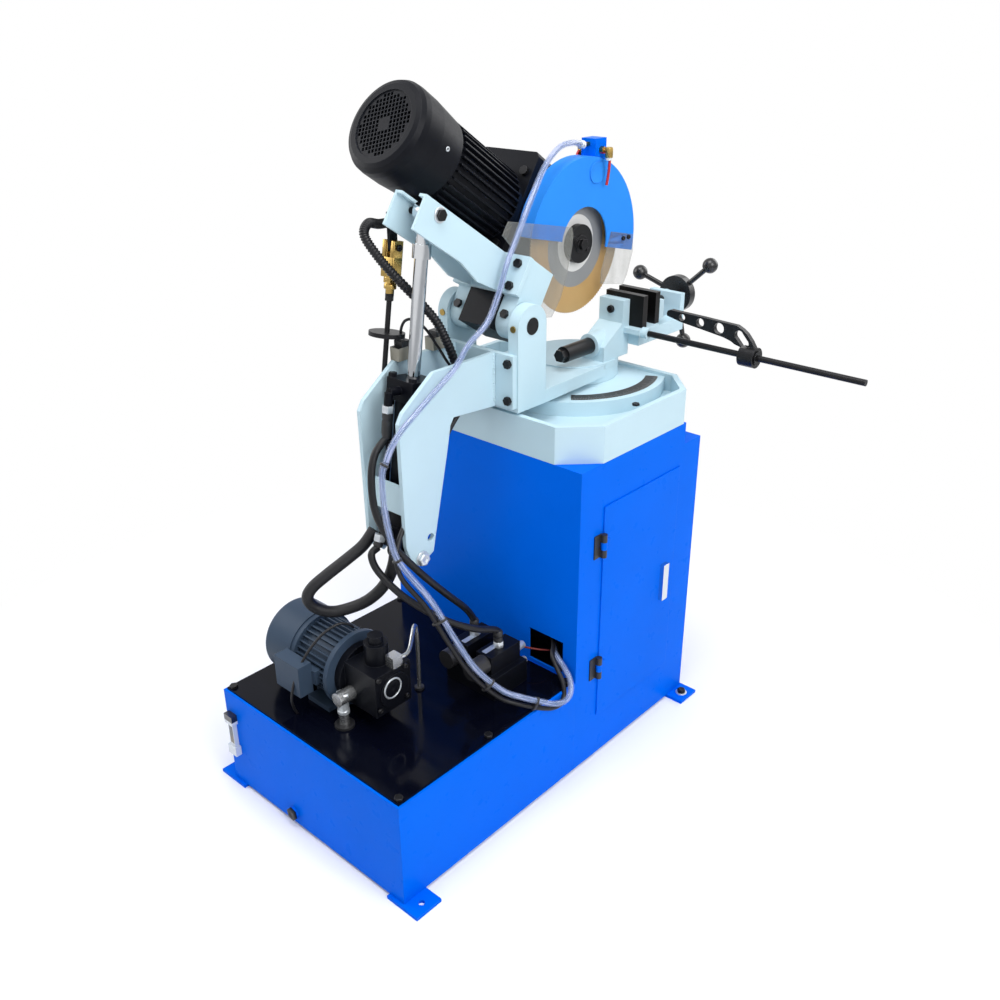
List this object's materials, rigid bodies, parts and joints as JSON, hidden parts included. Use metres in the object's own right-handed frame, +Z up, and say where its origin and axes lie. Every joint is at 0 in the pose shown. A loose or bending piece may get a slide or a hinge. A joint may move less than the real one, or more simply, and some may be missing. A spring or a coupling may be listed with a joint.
{
  "type": "cold saw",
  "caption": "Semi-automatic circular cold saw: tilting saw head with geared motor on a swivelling base, lowered by a hydraulic cylinder, with vise, bar stop, cabinet and oil tank",
  "frame": {"origin": "centre of the four floor anchor holes, on the floor", "axes": "+X away from the door side, +Y to the oil tank end, +Z up"},
  "size_m": [1.041, 1.253, 1.5452],
  "materials": {
    "blue_paint": "semi-gloss enamel on sheet steel",
    "light_grey_paint": "satin enamel on cast iron and plate",
    "black_paint": "satin black enamel",
    "slate_paint": "satin slate blue enamel",
    "black_plastic": "moulded",
    "black_steel": "black oxide",
    "bright_steel": "ground and turned",
    "chrome": "polished",
    "gold_coated_steel": "golden hard coating",
    "brass": "turned",
    "wheel_plastic": "polished phenolic",
    "beige_plastic": "moulded",
    "red_plastic": "extruded tube",
    "clear_plastic": "clear sheet",
    "clear_hose": "translucent vinyl",
    "black_rubber": "moulded"
  },
  "bodies": {
    "base": {"anchor_feet": "blue_paint", "tank": "blue_paint", "tank_lid": "black_paint", "lid_bolts": "bright_steel", "level_gauge": "black_plastic", "cabinet": "blue_paint", "hinge_leaves": "black_plastic", "electrical_panel": "beige_plastic", "coolant_pump": "slate_paint", "tray": "light_grey_paint", "scale_plate": "black_steel", "vise_base": "light_grey_paint", "vise_column": "light_grey_paint", "fixed_jaw": "black_paint", "stop_rod": "bright_steel", "pump_motor": "slate_paint", "pump_fan_cover": "slate_paint", "oil_pump": "black_paint", "oil_pipes": "bright_steel", "valve_block": "black_paint", "solenoid_coils": "black_plastic", "coolant_hose_lower": "clear_hose", "lower_hoses": "black_rubber"},
    "turntable": {"swivel_casting": "light_grey_paint", "pivot_shaft": "black_steel", "bracket": "light_grey_paint", "bracket_bolts": "black_steel", "limit_switches": "beige_plastic"},
    "front_plunger": {"front_plunger": "bright_steel"},
    "rear_plunger": {"rear_plunger": "bright_steel"},
    "head": {"head_casting": "black_paint", "pivot_knuckles": "light_grey_paint", "lever_arm": "light_grey_paint", "head_bolts": "black_steel", "motor_body": "black_paint", "motor_fan_cover": "black_paint", "blade_guard": "blue_paint", "rear_shield": "clear_plastic", "front_shield": "clear_plastic", "coolant_manifold": "blue_paint", "coolant_tubes": "red_plastic", "trip_link": "black_paint", "coolant_hose_upper": "clear_hose", "motor_conduit": "black_rubber"},
    "spindle": {"spindle": "bright_steel", "blade": "gold_coated_steel", "blade_flange": "black_steel"},
    "worm": {"worm_shaft": "bright_steel"},
    "rotor": {"motor_rotor": "bright_steel"},
    "piston": {"piston_rod": "bright_steel"},
    "barrel": {"cylinder_barrel": "black_paint"},
    "trip": {"trip_rod": "brass"},
    "door": {"door": "blue_paint"},
    "latch": {"latch_handle": "chrome"},
    "jaw": {"moving_jaw": "light_grey_paint", "moving_jaw_plate": "black_paint"},
    "wheel": {"handwheel": "wheel_plastic"},
    "bush": {"stop_bush": "bright_steel"},
    "stop": {"stop_arm": "black_paint"},
    "pump_rotor": {"pump_rotor": "bright_steel"}
  },
  "joints": [
    {"name": "turntable_turn", "type": "hinge", "parent": "base", "child": "turntable", "pos_m": [0, -0.378, 0.885], "axis": [0, 0, 1], "range_deg": [0, 45], "deforming": ["coolant_hose_lower", "lower_hoses"]},
    {"name": "head_tilt", "type": "hinge", "parent": "turntable", "child": "head", "pos_m": [0, -0.09, 1.065], "axis": [1, 0, 0], "range_deg": [0, 15], "deforming": ["coolant_hose_upper", "motor_conduit"]},
    {"name": "spindle_spin", "type": "hinge", "parent": "head", "child": "spindle", "pos_m": [0, -0.37851, 1.17818], "axis": [1, 0, 0], "continuous": true},
    {"name": "worm_spin", "type": "hinge", "parent": "head", "child": "worm", "pos_m": [0.103, -0.19541, 1.22548], "axis": [0, 0.8358, 0.549], "continuous": true},
    {"name": "rotor_spin", "type": "hinge", "parent": "head", "child": "rotor", "pos_m": [0.103, -0.21737, 1.25891], "axis": [0, 0.8358, 0.549], "continuous": true},
    {"name": "rod_swing", "type": "hinge", "parent": "head", "child": "piston", "pos_m": [0, 0.09973, 1.31167], "axis": [1, 0, 0], "range_deg": [-13, 1]},
    {"name": "barrel_slide", "type": "slide", "parent": "piston", "child": "barrel", "axis": [0, 0.1468, -0.9892], "range_m": [-0.002, 0.066]},
    {"name": "trip_swing", "type": "hinge", "parent": "head", "child": "trip", "pos_m": [0.075, 0.119, 1.238], "axis": [1, 0, 0], "range_deg": [-11, 1]},
    {"name": "door_swing", "type": "hinge", "parent": "base", "child": "door", "pos_m": [-0.304, -0.122, 0.4], "axis": [0, 0, 1], "range_deg": [-110, 0]},
    {"name": "latch_turn", "type": "hinge", "parent": "door", "child": "latch", "pos_m": [-0.3, -0.378, 0.404], "axis": [1, 0, 0], "range_deg": [0, 90]},
    {"name": "jaw_slide", "type": "slide", "parent": "base", "child": "jaw", "axis": [0, 1, 0], "range_m": [-0.06, 0.0335]},
    {"name": "wheel_turn", "type": "hinge", "parent": "jaw", "child": "wheel", "pos_m": [-0.078, -0.7, 1.011], "axis": [0, 1, 0], "range_deg": [-3620, 2030]},
    {"name": "stop_slide", "type": "slide", "parent": "base", "child": "bush", "axis": [1, 0, 0], "range_m": [-0.245, 0.06]},
    {"name": "stop_swing", "type": "hinge", "parent": "bush", "child": "stop", "pos_m": [-0.432, -0.455, 0.977], "axis": [1, 0, 0], "range_deg": [-100, 100]},
    {"name": "pump_spin", "type": "hinge", "parent": "base", "child": "pump_rotor", "pos_m": [0.1, 0.337, 0.359], "axis": [1, 0, 0], "continuous": true},
    {"name": "front_switch", "type": "slide", "parent": "turntable", "child": "front_plunger", "axis": [0, 0, 1], "range_m": [-0.003, 0], "stiffness_N_per_m": 600, "springref_m": 0.002},
    {"name": "rear_switch", "type": "slide", "parent": "turntable", "child": "rear_plunger", "axis": [0, 0, 1], "range_m": [-0.003, 0], "stiffness_N_per_m": 600, "springref_m": 0.002}
  ],
  "couplings": [
    {"joint": "worm_spin", "follows": "spindle_spin", "ratio": 45},
    {"joint": "rotor_spin", "follows": "spindle_spin", "ratio": -75},
    {"joint": "rod_swing", "follows": "head_tilt", "ratio": -0.68163},
    {"joint": "barrel_slide", "follows": "head_tilt", "m_per_rad": 0.20332},
    {"joint": "trip_swing", "follows": "head_tilt", "ratio": -0.55153},
    {"joint": "wheel_turn", "follows": "jaw_slide", "rad_per_m": 1047.2}
  ]
}
